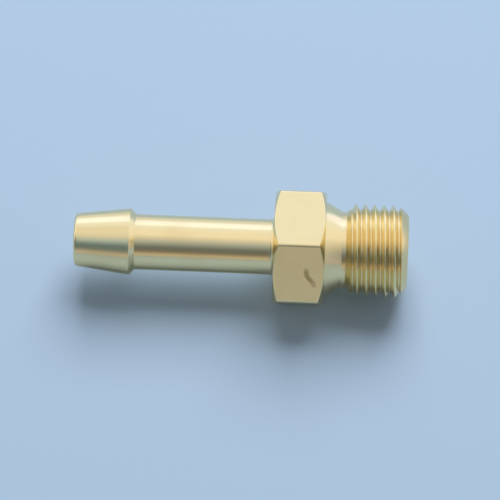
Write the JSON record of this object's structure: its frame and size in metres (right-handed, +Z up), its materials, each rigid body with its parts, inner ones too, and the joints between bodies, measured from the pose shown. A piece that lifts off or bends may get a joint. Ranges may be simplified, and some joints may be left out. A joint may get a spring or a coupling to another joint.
{
  "type": "hose barb tail",
  "caption": "Brass hose tail: push-on barb and plain neck, spanner hexagon, cone seat with relief groove and fine male thread, bored through from end to end.",
  "frame": {"origin": "on the axis of the bore, in the plane of the hexagon's face on the hose side", "axes": "+X along the bore towards the thread end; +Z up, with the part lying on one flat of the hexagon; +Y away from the viewer, through a corner of the hexagon"},
  "size_m": [0.036, 0.0138, 0.012],
  "materials": {
    "brass": "fine-turned brass, bright and unplated"
  },
  "bodies": {
    "root": {"hose_tail": "brass"}
  },
  "joints": []
}
